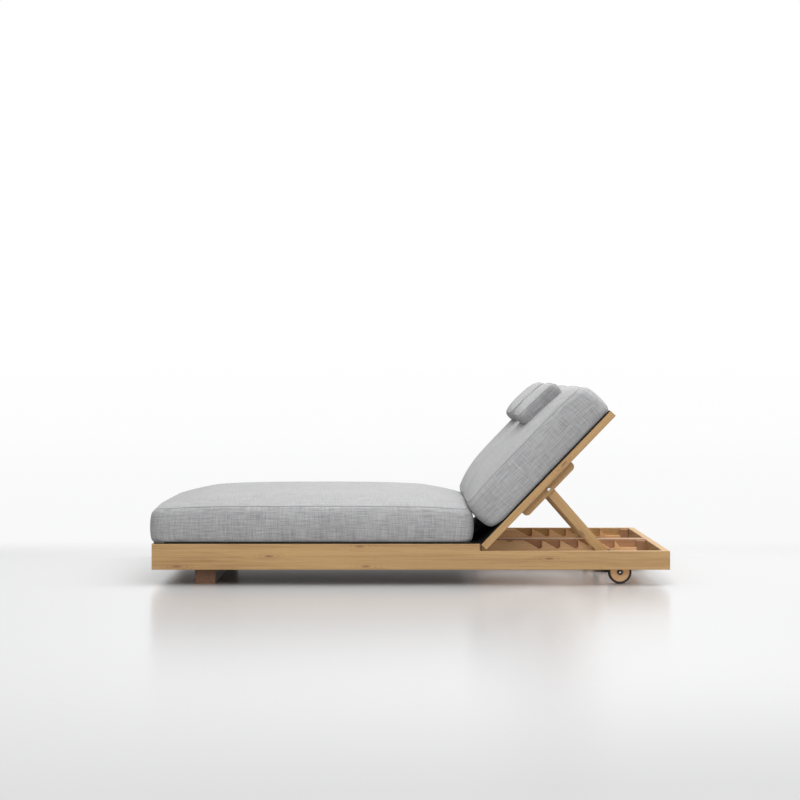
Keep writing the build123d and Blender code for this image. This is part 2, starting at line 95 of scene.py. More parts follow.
# Half profiles of a wheel, as (along, radius) points. The rim's and the shoulder's radii are counted
# from the circle where the tyre sits, and the tread's from the outside of the tyre.
DISC_FACE = [(-0.0112, 0.0), (-0.0112, 0.0118), (-0.0122, 0.0128), (-0.0128, 0.0145)]
DISC_RIM = [(-0.0132, -0.004), (-0.0128, -0.0016), (-0.0118, -0.0004)]
TYRE_SHOULDER = [(-0.0119, -0.0006), (-0.0133, 0.0012), (-0.0139, 0.0034)]
TYRE_TREAD = [(-0.0131, -0.0016), (-0.0112, -0.0004), (-0.008, 0.0)]

# How far the heads lie from the middle plane, their (radius, height), and the dark rings behind them, which
# stand in for the shadow gap round the axle heads
BOLT_REACH = {"outer": 0.6885, "inner": 0.0715}
BOLT_HEAD = (0.0075, 0.0026)
AXLE_REACH = {"outer": 0.6953, "inner": 0.0647}
AXLE_HEAD = (0.0046, 0.0022)
SHADOW_RING_BEHIND = 0.0052
SHADOW_RING_RADII = (0.0083, 0.0112)
SHADOW_RING_EASE = 0.0005

# A head's dome as shares of its height and radius, from the rim inwards, and its six-sided socket
DOME = ((0.15, 0.98), (0.5, 0.93), (0.85, 0.76), (1.0, 0.54))
CAP_SUNK, CAP_RIM = 0.001, 0.98
SOCKET_SHARE, SOCKET_FLOOR, SOCKET_EASE = 0.4, 0.1, (0.97, 1.08)

# The support textile: its thickness, its hems and where it lies on the deck and on a back
TEXTILE_T = 0.0014
TEXTILE_SUNK = 0.0002
DECK_STEPS, BACK_STEPS, FLAP_STEPS = 16, 10, 12
HEM_R, HEM_END_R, HEM_END = 0.0023, 0.0018, 0.001
DECK_HEM_IN, DECK_HEM_UP = 0.003, 0.0021
DECK_HEM_FOOT_GAP, DECK_HEM_HEAD_GAP = 0.04, 0.01
BACK_EDGES = (0.0085, 0.742)
BACK_START, BACK_RUN, BACK_ABOVE = 0.0855, 0.65, 0.0158
BACK_HEM_Y, BACK_HEM_ABOVE, BACK_HEM_ENDS = 0.7395, 0.0181, (0.094, 0.73)
FLAP_END, FLAP_END_HOLD = (0.088, 0.0162), (0.052, 0.0176)
FLAP_LAP, FLAP_START_HOLD = 0.001, (0.031, 0.0012)

# Yarns and weaves
THREAD, SPECK, TEXTILE_CELL = 0.0011, 0.0016, 0.0032

# Where the base panel and the side strip lie on the flat cloth, clear of the top panel
BASE_PANEL, SIDE_STRIP = 3, 9

# How often each part of the timber's pattern repeats per metre, along X, Y and Z of a board
WANDER, DRIFT, LINES = (2.2, 7, 7), (1.6, 3.0, 3.0), (2.6, 130, 130)
FIBRE, PORES = (9, 420, 420), (26, 900, 900)

# How far along X, Y and Z a pattern shifts for each metre, and the shifts of the backs' patterns
SHIFT_SHARES = (1, 0.37, 0.61)
BACK_SHIFT, BAY_SHIFT = 30.0, 11.3

# The shape of every cushion, in shares of its own height, half length, half width and crown
CROWN_EDGE, CROWN_POWER = 3, 0.62
BELLY_AT, BELLY_REACH, BELLY_POWER = 0.45, 0.55, 2.6
SEAM_FROM, SEAM_REACH = 0.88, 0.12
BASE_REACH, BASE_EASE = 0.06, 0.45
DROOP, DROOP_POWER = 0.34, 5
TOE_FROM, TOE_REACH = 0.68, 0.32
ROUND_AT = 0.25
SEATED = 1e-5

# The cushions, as the fields of a CushionForm
SEAT_OVERHANG, SEAT_SEAM_H = 0.017, 0.147
SEAT_SHAPE = dict(ease=0.012, low_round=0.03, high_round=0.016, cell=(0.018, 0.018, 0.0125), cap=0.008)
BACK_SHAPE = dict(size=(0.681, 0.736, 0.156), ease=0.01, low_round=0.018, high_round=0.046, toe=0.016)
BACK_SHAPE.update(cell=(0.0145, 0.0155, 0.013), cap=0.006)
PILLOW_SHAPE = dict(size=(0.206, 0.45, 0.05), crown=0.013, corner=0.026, ease=0.004, pull_share=0.4)
PILLOW_SHAPE.update(low_round=0.016, high_round=0.016, cell=(0.009, 0.009, 0.0083), cap=0.004)

# The cloth that is filled: soft enough to swell, and stiff enough to keep the cushion's plan
FILLING = {
    "quality": 5,
    "mass": 0.35,
    "tension_stiffness": 18,
    "compression_stiffness": 18,
    "shear_stiffness": 8,
    "bending_stiffness": 1.2,
    "use_pressure": True,
}

# The camera's place and tilt, worked out from the photograph's perspective
CAMERA_PLACE, CAMERA_TILT = (-0.043, -10.365, 0.827), math.radians(0.565)
SENSOR_WIDTH, VIEW_END = 36.0, 100.0

# Lamps: name, place, target, size and share of the key light's power
LAMPS = (
    ("Overhead", (0.35, 0.15, 3.6), (0.2, 0, 0.2), 3.0, 1.0),
    ("Front", (0.5, -4.5, 2.2), (0.1, 0, 0.2), 2.6, 0.9),
    ("Head_side", (2.5, 0.7, 3.1), (0.75, -0.1, 0), 1.8, 0.42),
)

# Bands of tone: start, end, low and high. The floor's run along Y, and the sky's with the height.
FLOOR_TONE, FLOOR_HORIZON = (-3.0, 2.5, 0.79, 0.95), (2.5, 27.0, 0.0, 0.034)
FLOOR_FAR, FLOOR_NEAR = (0.75, 1.9, 0.0, 1.0), (-2.0, -5.2, 0.0, 0.75)
SKY_LIGHT, SKY_SEEN = (-0.05, 0.9, 0.08, 0.85), (-0.02, 0.012, 0.984, 1.0)
FLOOR_SIZE, FLOOR_COOL = 30.0, 0.006


class CushionForm(NamedTuple):
    """The form of one cushion. Its size ends at the seam, under the crown.

    The ease draws in the edges at the seam and at the base. The low and the high round are those of
    the long profile's upper corners, at low X and at high X, and the toe is the base's lift at low X.
    The cell is one of its mesh, and the cap is the furthest that the filling moves a point. The pull
    share is taken of the sides' pull-in.
    """

    size: tuple
    crown: float
    corner: float
    ease: float
    low_round: float
    high_round: float
    cell: tuple
    cap: float
    toe: float = 0.0
    pull_share: float = 1.0


def colour_setting(name, description, default):
    return bpy.props.FloatVectorProperty(name=name, description=description, subtype="COLOR", default=default)


def length_setting(name, description, default):
    return bpy.props.FloatProperty(name=name, description=description, unit="LENGTH", default=default)


class LoungerTimber(bpy.types.PropertyGroup):
    pale: colour_setting("Pale grain", "Colour of the timber's pale growth", (0.5, 0.308, 0.126))
    warm: colour_setting("Warm grain", "Colour of the timber's darker growth", (0.345, 0.188, 0.07))
    knot: colour_setting("Knot", "Colour at the heart of a knot", (0.19, 0.09, 0.035))
    # Painted light: the racks and wheels are the rails' timber, painted far lighter to make up for the shade
    # they stand in.
    rack_lit_pale: colour_setting("Rack pale", "Pale growth of the racks and wheels", (0.9, 0.57, 0.29))
    rack_lit_warm: colour_setting("Rack warm", "Darker growth of the racks and wheels", (0.76, 0.43, 0.2))
    # Painted shade: the inner boards and corner blocks are the rails' timber, painted darker and redder for
    # the shade inside the frame.
    inner_shaded_pale: colour_setting("Inner pale", "Pale growth of the inner boards", (0.42, 0.22, 0.105))
    inner_shaded_warm: colour_setting("Inner warm", "Darker growth of the inner boards", (0.3, 0.145, 0.065))
    # Painted shade: the foot beam is the rails' timber, painted far darker for the shade under the frame.
    foot_shaded_pale: colour_setting("Foot pale", "Pale growth of the foot beam", (0.22, 0.105, 0.05))
    foot_shaded_warm: colour_setting("Foot warm", "Darker growth of the foot beam", (0.14, 0.062, 0.028))
    ring_width: length_setting("Growth width", "Width of one growth band across a board", 0.011)


class LoungerFabric(bpy.types.PropertyGroup):
    light: colour_setting("Light yarn", "Colour of the light yarns", (0.46, 0.46, 0.465))
    dark: colour_setting("Dark yarn", "Colour of the dark yarns", (0.225, 0.225, 0.23))
    textile: colour_setting("Textile", "Colour of the black support textile", (0.012, 0.012, 0.013))
    yarn: length_setting("Yarn width", "Width of one yarn of the cushion cloth", 0.0034)
    streak: length_setting("Slub length", "Length of a thick place in a yarn", 0.062)


class LoungerCushions(bpy.types.PropertyGroup):
    seat_crown: length_setting("Seat crown", "Height of the seat cushion's crown over its seam", 0.045)
    back_crown: length_setting("Back crown", "Height of a back cushion's crown over its seam", 0.039)
    seat_corner: length_setting("Seat corner", "Corner radius of the seat cushion in plan", 0.055)
    back_corner: length_setting("Back corner", "Corner radius of a back cushion in plan", 0.05)
    pull_in: length_setting("Pull-in", "How far the sides are drawn in at the seam", 0.011)
    seam_r: length_setting("Seam radius", "Radius of the cord sewn into a seam", 0.0022)
    pressure: bpy.props.FloatProperty(
        name="Filling pressure", description="Pressure of the filling in the cloth simulation", default=4.0
    )


class LoungerFittings(bpy.types.PropertyGroup):
    wheel_r: length_setting("Wheel radius", "Outer radius of a wheel with its tyre", 0.0468)
    tyre_t: length_setting("Tyre thickness", "Thickness of a wheel's tyre", 0.0085)
    steel: colour_setting("Steel", "Colour of the bolts and hinges", (0.72, 0.72, 0.73))
    rubber: colour_setting("Rubber", "Colour of the tyres", (0.018, 0.018, 0.019))


class LoungerStage(bpy.types.PropertyGroup):
    camera_place: bpy.props.FloatVectorProperty(
        name="Camera place", description="Where it stands", subtype="TRANSLATION", default=CAMERA_PLACE
    )
    camera_tilt: bpy.props.FloatProperty(
        name="Camera tilt", description="How far it looks down", subtype="ANGLE", default=CAMERA_TILT
    )
    lens: bpy.props.FloatProperty(
        name="Lens", description="Focal length of the camera in millimetres", default=109.53
    )
    floor: colour_setting("Floor", "Colour of the floor", (0.56, 0.56, 0.567))
    key_power: bpy.props.FloatProperty(
        name="Key light", description="Power of the soft light from above", unit="POWER", default=90.0
    )


# Materials


def shaded(colour, share):
    """The colour, made darker or lighter by a share."""
    return tuple(channel * share for channel in colour)


class Wire:
    """A socket of a material, with arithmetic that adds Math nodes."""

    def __init__(self, finish, socket):
        self.finish = finish
        self.socket = socket

    def _math(self, operation, first, second=None, clamp=False):
        inputs = {0: first} if second is None else {0: first, 1: second}
        return self.finish.node("ShaderNodeMath", inputs, operation=operation, use_clamp=clamp)

    def __add__(self, other):
        return self._math("ADD", self, other)

    __radd__ = __add__

    def __sub__(self, other):
        return self._math("SUBTRACT", self, other)

    def __rsub__(self, other):
        return self._math("SUBTRACT", other, self)

    def __mul__(self, other):
        return self._math("MULTIPLY", self, other)

    __rmul__ = __mul__

    def __truediv__(self, other):
        return self._math("DIVIDE", self, other)

    def __rtruediv__(self, other):
        return self._math("DIVIDE", other, self)

    def clamped(self):
        return self._math("ADD", self, 0.0, clamp=True)

    def sine(self):
        return self._math("SINE", self)


class Finish:
    """One procedural material, built node by node."""

    def __init__(self, name):
        self.material = bpy.data.materials.new(name)
        self.material.use_nodes = True
        self.tree = self.material.node_tree
        self.tree.nodes.clear()

    @classmethod
    def of_tree(cls, tree):
        """Works on a node tree that is already there, such as the world's."""
        finish = cls.__new__(cls)
        finish.tree = tree
        tree.nodes.clear()
        return finish

    def node(self, kind, inputs=None, out=0, stops=None, **settings):
        made = self.tree.nodes.new(kind)
        for key, value in settings.items():
            setattr(made, key, value)
        if stops:
            ramp = made.color_ramp
            while len(ramp.elements) < len(stops):
                ramp.elements.new(0.5)
            for element, (place, shade) in zip(ramp.elements, stops):
                element.position = place
                element.color = (shade, shade, shade, 1)
        for key, value in (inputs or {}).items():
            if isinstance(value, Wire):
                self.tree.links.new(value.socket, made.inputs[key])
            else:
                made.inputs[key].default_value = value
        return Wire(self, made.outputs[out]) if made.outputs else None

    def noise(self, vector, scale, detail=2.0, roughness=0.5, distortion=0.0):
        inputs = {"Vector": vector, "Scale": scale, "Detail": detail, "Roughness": roughness}
        inputs["Distortion"] = distortion
        return self.node("ShaderNodeTexNoise", inputs)

    def ramp(self, value, low, high):
        return self.node("ShaderNodeValToRGB", {0: value}, stops=((low, 0.0), (high, 1.0)))

    def mapped(self, vector, scale=(1, 1, 1), place=(0, 0, 0), turn=(0, 0, 0)):
        inputs = {"Vector": vector, "Location": place, "Rotation": turn, "Scale": scale}
        return self.node("ShaderNodeMapping", inputs)

    def object_place(self):
        return self.node("ShaderNodeTexCoord", out="Object")

    def cloth_place(self):
        return self.node("ShaderNodeUVMap", uv_map="Cloth")

    def parts(self, vector):
        split = self.node("ShaderNodeSeparateXYZ", {0: vector})
        return [Wire(self, output) for output in split.socket.node.outputs]

    def joined(self, x, y, z=0.0):
        return self.node("ShaderNodeCombineXYZ", {0: x, 1: y, 2: z})

    def blended(self, factor, first, second):
        first, second = (c if isinstance(c, Wire) else (*c, 1) for c in (first, second))
        inputs = {0: factor, 6: first, 7: second}
        return self.node("ShaderNodeMix", inputs, out=2, data_type="RGBA")

    def bump(self, height, distance, strength=1.0):
        return self.node("ShaderNodeBump", {"Height": height, "Distance": distance, "Strength": strength})

    def done(self, colour, roughness, normal=None, **constants):
        inputs = {"Base Color": colour, "Roughness": roughness}
        if normal is not None:
            inputs["Normal"] = normal
        inputs.update({key.replace("_", " "): value for key, value in constants.items()})
        for key, value in inputs.items():
            if key == "Base Color" and not isinstance(value, Wire):
                inputs[key] = (*value, 1)
        surface = self.node("ShaderNodeBsdfPrincipled", inputs)
        self.node("ShaderNodeOutputMaterial", {"Surface": surface})
        return self.material


def timber_finish(name, colours, ring_width, turn=(0, 0, 0), shift=(0, 0, 0), top_light_and_coat=0.5):
    """Oiled hardwood whose grain runs along the turned X axis, with a few small knots and painted light on
    faces that look up.
    """
    pale, warm, knot = colours
    finish = Finish(name)
    place = finish.mapped(finish.object_place(), turn=turn)
    place = finish.mapped(place, place=shift)
    wander = finish.noise(finish.mapped(place, scale=WANDER), 1.0, detail=3)
    x, y, z = finish.parts(place)
    spread = finish.joined(x * 0.9, y / ring_width + wander * 3.0, z / ring_width + wander * 3.4)
    bands = finish.noise(spread, 0.55, detail=4, roughness=0.62, distortion=0.35)
    fibre = finish.noise(finish.mapped(place, scale=FIBRE), 1.0, detail=3, roughness=0.7)
    pores = finish.noise(finish.mapped(place, scale=PORES), 1.0, detail=2)
    drift = finish.noise(finish.mapped(place, scale=DRIFT), 1.0, detail=2)
    # Each knot lies at the heart of a flat cell that is long along the board.
    cells = {"Vector": finish.joined(x * 2.9, z * 10.5 + y * 1.5), "Scale": 1.0, "Randomness": 1.0}
    away = finish.node("ShaderNodeTexVoronoi", cells, voronoi_dimensions="2D")
    knots = 1 - finish.ramp(away, 0.015, 0.06)
    halo = 1 - finish.ramp(away, 0.03, 0.24)
    ring = ((away * 95 + wander * 7).sine() * 0.5 + 0.5) * halo
    lines = finish.noise(finish.mapped(place, scale=LINES), 1.0, detail=3, roughness=0.6)
    lines = finish.ramp(lines, 0.5, 0.7)
    shade = bands * 0.95 + (fibre - 0.5) * 0.7 + (drift - 0.5) * 0.6 + ring * 0.3 + lines * 0.34 - 0.06
    colour = finish.blended(finish.ramp(shade, 0.25, 0.85), pale, warm)
    # Painted top light: faces that look up blend towards a lighter copy of the pale grain, as if lit from
    # above. The same share also sets the clear coat's weight.
    _, _, upward = finish.parts(finish.node("ShaderNodeTexCoord", out="Normal"))
    painted_top_light = tuple(min(0.9, c * 1.3 + 0.04) for c in pale)
    colour = finish.blended(finish.ramp(upward, 0.55, 0.9) * 0.4 * top_light_and_coat, colour, painted_top_light)
    dark_pores = finish.ramp(pores, 0.62, 0.74) * 0.35
    colour = finish.blended((dark_pores + knots * 0.75).clamped(), colour, knot)
    height = fibre * 0.5 + bands * 0.35 - pores * 0.3
    roughness = 0.5 + (fibre - 0.5) * 0.18 + dark_pores * 0.2
    normal = finish.bump(height, 0.0004, 0.55)
    return finish.done(colour, roughness, normal, Coat_Weight=0.08 * top_light_and_coat, Coat_Roughness=0.35)


def cloth_finish(name, fabric, shift=(0, 0, 0), wear=1.0, side_painted_shade=0.0):
    """A linen-look outdoor weave with slubs along both yarn directions, calmer on the top panel, with the
    side strip darkened by a share as painted shade.
    """
    finish = Finish(name)
    u, v, _ = finish.parts(finish.mapped(finish.cloth_place(), place=shift))
    yarn, streak = fabric.yarn, fabric.streak
    # The third coordinate only takes each noise from a slice of its own.
    weft = finish.noise(finish.joined(u / streak, v / yarn, 3.0), 1.0, detail=2, roughness=0.6)
    warp = finish.noise(finish.joined(u / yarn, v / streak, 11.0), 1.0, detail=2, roughness=0.6)
    wide = finish.noise(finish.joined(u / (streak * 2.6), v / (yarn * 2.2), 27.0), 1.0, detail=1)
    tall = finish.noise(finish.joined(u / (yarn * 2.2), v / (streak * 2.6), 41.0), 1.0, detail=1)
    cloud = finish.noise(finish.joined(u * 5, v * 5, 5.0), 1.0, detail=3)
    turns = math.pi / THREAD
    over = (u * turns).sine() * (v * turns).sine()
    speck = finish.noise(finish.joined(u / SPECK, v / SPECK, 7.0), 1.0, detail=1)
    slub = (weft - 0.5) * 2.3 + (warp - 0.5) * 1.7 + (wide - 0.5) * 0.9 + (tall - 0.5) * 0.7
    _, strip, _ = finish.parts(finish.cloth_place())
    # The side strip lies far out on the flat cloth, past the top and the base panel.
    side = finish.ramp(strip * 0.1, 0.6, 0.8)
    # Painted shade: the side strip is darkened by its given share, for the shade on the pillows' ends.
    shade = 0.46 + side * side_painted_shade - slub * (side * 0.42 + 0.58) * wear
    shade = shade + (cloud - 0.5) * 0.25 + over * 0.04 + (speck - 0.5) * 0.35
    colour = finish.blended(shade.clamped(), fabric.light, fabric.dark)
    height = over * 0.45 + slub * 0.9 + (speck - 0.5) * 0.4
    normal = finish.bump(height, 0.0005, 0.7)
    return finish.done(colour, 0.9, normal, Sheen_Weight=0.18, Sheen_Roughness=0.6)


def textile_finish(name, colour):
    """Black open-weave support textile with a coarse basket pattern."""
    finish = Finish(name)
    x, y, _ = finish.parts(finish.cloth_place())
    turns = math.pi / TEXTILE_CELL
    strand = (x * turns).sine() * (y * turns).sine()
    fray = finish.noise(finish.joined(x * 700, y * 700, 0.0), 1.0, detail=2)
    lift = finish.ramp(strand * 0.5 + fray * 0.5, 0.2, 0.9)
    shown = finish.blended(lift, shaded(colour, 0.4), shaded(colour, 1.4))
    normal = finish.bump(strand, 0.0006, 0.8)
    return finish.done(shown, 0.78 + fray * 0.15, normal, Specular_IOR_Level=0.2)


def steel_finish(name, colour, rough=0.3):
    """Satin stainless steel with fine turning marks."""
    finish = Finish(name)
    place = finish.object_place()
    marks = finish.noise(finish.mapped(place, scale=(900, 160, 900)), 1.0, detail=3)
    smear = finish.noise(place, 60.0, detail=2)
    shown = finish.blended(marks * 0.35 + smear * 0.25, colour, shaded(colour, 0.72))
    normal = finish.bump(marks, 0.00008, 0.5)
    return finish.done(shown, rough + (smear - 0.5) * 0.18, normal, Metallic=1.0)


def rubber_finish(name, colour):
    """Matte black rubber with a little dust."""
    finish = Finish(name)
    dust = finish.noise(finish.object_place(), 90.0, detail=4, roughness=0.7)
    shown = finish.blended(finish.ramp(dust, 0.5, 0.85) * 0.4, colour, (0.09, 0.088, 0.085))
    return finish.done(shown, 0.72 + (dust - 0.5) * 0.2, finish.bump(dust, 0.0003, 0.4))


# Making pieces


def finished_piece(name, bm, material, smooth=True):
    """Turns a bmesh into a piece of the scene with one material."""
    mesh = bpy.data.meshes.new(name)
    bm.to_mesh(mesh)
    bm.free()
    mesh.materials.append(material)
    mesh.shade_smooth() if smooth else mesh.shade_flat()
    piece = bpy.data.objects.new(name, mesh)
    bpy.context.collection.objects.link(piece)
    return piece


def applied(piece, matrix):
    """Puts a piece's place into its mesh, so that its object stays at the origin."""
    piece.data.transform(matrix)
    piece.data.update()
    return piece


def rigid_piece(name, bm, finish, place, crisp, body):
    """Sets a piece in place on its body. Its edges past the crisp angle, in degrees, stay sharp."""
    piece = applied(finished_piece(name, bm, finish), place)
    piece.data.set_sharp_from_angle(angle=math.radians(crisp))
    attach(piece, body)
    return piece


def dress(material, *nodes):
    """Gives CAD nodes a material of their own."""
    for name in nodes:
        slots = frame["nodes"][name].data.materials
        slots.clear()
        slots.append(material)


def back_matrix(along=0.0, above=0.0, y=0.0, tilt=0.0):
    """The place of a point along and above the backs, with local X up the back and Z off its face."""
    turn = Matrix.Rotation(-REST_ANGLE, 4, "Y")
    place = Matrix.Translation(BACK_PIVOT + Vector((0, y, 0)))
    return place @ turn @ Matrix.Translation((along, 0, above)) @ Matrix.Rotation(tilt, 4, "Y")


def cut_cube(bm, size, cell):
    """A block of the given size, cut into a grid of cells on every side."""
    bmesh.ops.create_cube(bm, size=1.0)
    bmesh.ops.scale(bm, vec=size, verts=bm.verts)
    for axis in range(3):
        along = [e for e in bm.edges if abs((e.verts[0].co - e.verts[1].co)[axis]) > TINY]
        cuts = max(1, round(size[axis] / cell[axis])) - 1
        bmesh.ops.subdivide_edges(bm, edges=along, cuts=cuts, use_grid_fill=True)


def lay_cloth(bm, size):
    """Gives each loop its place on the flat cloth, with the side strip running round the block."""
    half_x, half_y = size[0] / 2, size[1] / 2
    layer = bm.loops.layers.uv.new("Cloth")
    bm.normal_update()
    for face in bm.faces:
        normal = face.normal
        for loop in face.loops:
            x, y, z = loop.vert.co
            if abs(normal.z) > 0.5:
                loop[layer].uv = (x, y + (0 if normal.z > 0 else BASE_PANEL))
                continue
            if normal.y < -0.5:
                run = x
            elif normal.x > 0.5:
                run = half_x + y + half_y
            elif normal.x < -0.5:
                run = -half_x - y - half_y
            else:
                run = half_x + 2 * half_y + half_x - x
            loop[layer].uv = (run, z + SIDE_STRIP)


def round_plan(x, y, half_x, half_y, corner):
    """Moves a point of a square-cornered plan onto the same plan with round corners."""
    inner_x = max(-half_x + corner, min(half_x - corner, x))
    inner_y = max(-half_y + corner, min(half_y - corner, y))
    dx, dy = x - inner_x, y - inner_y
    if dx and dy:
        reach = max(abs(dx), abs(dy)) / math.hypot(dx, dy)
        return inner_x + dx * reach, inner_y + dy * reach
    return x, y


def profile_round(x, z, corner_x, corner_z, radius):
    """Draws a point of a profile in to a rounded corner. The corner's signs say which way it faces."""
    sign = 1 if corner_x > 0 else -1
    dx, dz = sign * (x - corner_x) + radius, z - corner_z + radius
    if dx <= 0 or dz <= 0:
        return x, z
    reach = max(dx, dz) / math.hypot(dx, dz)
    return corner_x + sign * (dx * reach - radius), corner_z + dz * reach - radius


def side_inset(t, pull_in, ease):
    """How far a side panel is drawn in, at the share t of its height from base to seam."""
    belly = abs((t - BELLY_AT) / BELLY_REACH) ** BELLY_POWER
    at_seam = max(0.0, (t - SEAM_FROM) / SEAM_REACH) ** 2
    at_base = max(0.0, (BASE_REACH - t) / BASE_REACH) ** 2
    return pull_in * belly + ease * (at_seam + BASE_EASE * at_base)


def cushion_mesh(form, pull_in):
    """A box cushion: a round-cornered plan, side panels sewn to a broad crown and to a flat base.

    It comes with the verts of its two edge rings, at the seam and at the base.
    """
    bm = bmesh.new()
    length, width, seam_h = form.size
    cut_cube(bm, form.size, form.cell)
    lay_cloth(bm, form.size)
    half_x, half_y = length / 2, width / 2
    rings = {"seam": [], "base": []}
    for vert in bm.verts:
        x, y, z = vert.co
        u, v, t = x / half_x, y / half_y, z / seam_h + 0.5
        edge = max(abs(u), abs(v)) > 1 - TINY
        if edge and t > 1 - TINY:
            rings["seam"].append(vert)
        if edge and t < TINY:
            rings["base"].append(vert)
        x, y = round_plan(x, y, half_x, half_y, form.corner)
        lift = 0.0
        if t > 1 - TINY:
            u, v = (max(0.0, 1 - abs(share) ** CROWN_EDGE) for share in (x / half_x, y / half_y))
            lift = form.crown * (u * v) ** CROWN_POWER
        inset = side_inset(t, pull_in, form.ease)
        droop = DROOP * form.crown * t * abs(x * y / (half_x * half_y)) ** DROOP_POWER
        droop -= form.toe * (1 - t) * max(0.0, (-TOE_FROM - x / half_x) / TOE_REACH) ** 2
        x, y, z = x * (1 - inset / half_x), y * (1 - inset / half_y), t * seam_h + lift - droop
        top = seam_h + ROUND_AT * form.crown
        x, z = profile_round(x, z, -half_x, top, form.low_round)
        x, z = profile_round(x, z, half_x, top, form.high_round)
        vert.co = x, y, z
    return bm, rings


def ring_order(verts):
    """The verts of one closed edge ring, in order round it."""
    order, left = [verts[0]], set(verts[1:])
    while True:
        beside = (edge.other_vert(order[-1]) for edge in order[-1].link_edges)
        following = next((vert for vert in beside if vert in left), None)
        if following is None:
            return order
        left.remove(following)
        order.append(following)


def puff(piece, pins, pressure, cap, frames=20):
    """Fills the cushion in a cloth simulation, and keeps each point within cap of its first place."""
    group = piece.vertex_groups.new(name="held")
    for index in pins:
        group.add([index], 1.0, "REPLACE")
    cloth = piece.modifiers.new("Filling", "CLOTH")
    for key, value in FILLING.items():
        setattr(cloth.settings, key, value)
    cloth.settings.uniform_pressure_force = pressure
    cloth.settings.effector_weights.gravity = 0
    cloth.settings.vertex_group_mass = group.name
    cloth.collision_settings.use_collision = False
    cloth.point_cache.frame_start, cloth.point_cache.frame_end = 1, frames
    scene = bpy.context.scene
    for step in range(1, frames + 1):
        scene.frame_set(step)
    places = surface_places(piece, range(len(piece.data.vertices)))
    piece.modifiers.remove(cloth)
    scene.frame_set(1)
    for vert, place in zip(piece.data.vertices, places):
        move = place - vert.co
        if move.length > cap:
            move.length = cap
        vert.co += move
    piece.vertex_groups.remove(piece.vertex_groups["held"])


def surface_places(piece, indices):
    """Where the points of these indices lie once the piece's modifiers have worked."""
    worked = piece.evaluated_get(bpy.context.evaluated_depsgraph_get())
    mesh = worked.to_mesh()
    places = [mesh.vertices[index].co.copy() for index in indices]
    worked.to_mesh_clear()
    return places


def seam_cord(name, points, radius, material):
    """A thin sewn cord that runs round a closed ring of points."""
    line = bpy.data.curves.new(name, "CURVE")
    line.dimensions = "3D"
    spline = line.splines.new("POLY")
    spline.points.add(len(points) - 1)
    for point, place in zip(spline.points, points):
        point.co = (*place, 1)
    spline.use_cyclic_u = True
    line.bevel_depth = radius
    line.bevel_resolution = 2
    drawn = bpy.data.objects.new(name, line)
    mesh = bpy.data.meshes.new_from_object(drawn)
    bpy.data.objects.remove(drawn)
    mesh.materials.clear()
    mesh.materials.append(material)
    mesh.shade_smooth()
    piece = bpy.data.objects.new(name, mesh)
    bpy.context.collection.objects.link(piece)
    return piece


def turned(bm, profile, ring=False, steps=56):
    """Spins a profile of (along, radius) points round the local X axis into a closed solid or ring."""
    verts = [bm.verts.new((along, 0, radius)) for along, radius in profile]
    edges = [bm.edges.new(pair) for pair in zip(verts, verts[1:])]
    if ring:
        edges.append(bm.edges.new((verts[-1], verts[0])))
    bmesh.ops.spin(
        bm, geom=verts + edges, cent=(0, 0, 0), axis=(1, 0, 0), angle=2 * math.pi, steps=steps, use_merge=True
    )
    bmesh.ops.remove_doubles(bm, verts=bm.verts, dist=TINY)
    bmesh.ops.recalc_face_normals(bm, faces=bm.faces)


def cushion(name, body, node, form, place, finish, piping, sizes):
    """Builds a filled cushion with both its seam cords, and sets it in place on its body."""
    bm, rings = cushion_mesh(form, sizes.pull_in * form.pull_share)
    bm.verts.index_update()
    loops = {key: [vert.index for vert in ring_order(verts)] for key, verts in rings.items()}
    pins = {index for ring in loops.values() for index in ring}
    pins.update(vert.index for vert in bm.verts if vert.co.z < SEATED + form.toe)
    piece = finished_piece(name, bm, finish)
    puff(piece, sorted(pins), sizes.pressure, form.cap)
    smooth = piece.modifiers.new("Smooth", "SUBSURF")
    smooth.levels = smooth.render_levels = 1
    applied(piece, place)
    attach(piece, body)
    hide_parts(node)
    for key, ring in loops.items():
        cord = seam_cord(f"{name}_{key}_cord", surface_places(piece, ring), sizes.seam_r, piping)
        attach(cord, body)


# Operators


def band(finish, value, tones):
    """Runs smoothly from a low tone where the band starts to a high one where it ends."""
    names = ("From Min", "From Max", "To Min", "To Max")
    inputs = {"Value": value, **dict(zip(names, tones))}
    return finish.node("ShaderNodeMapRange", inputs, interpolation_type="SMOOTHSTEP")


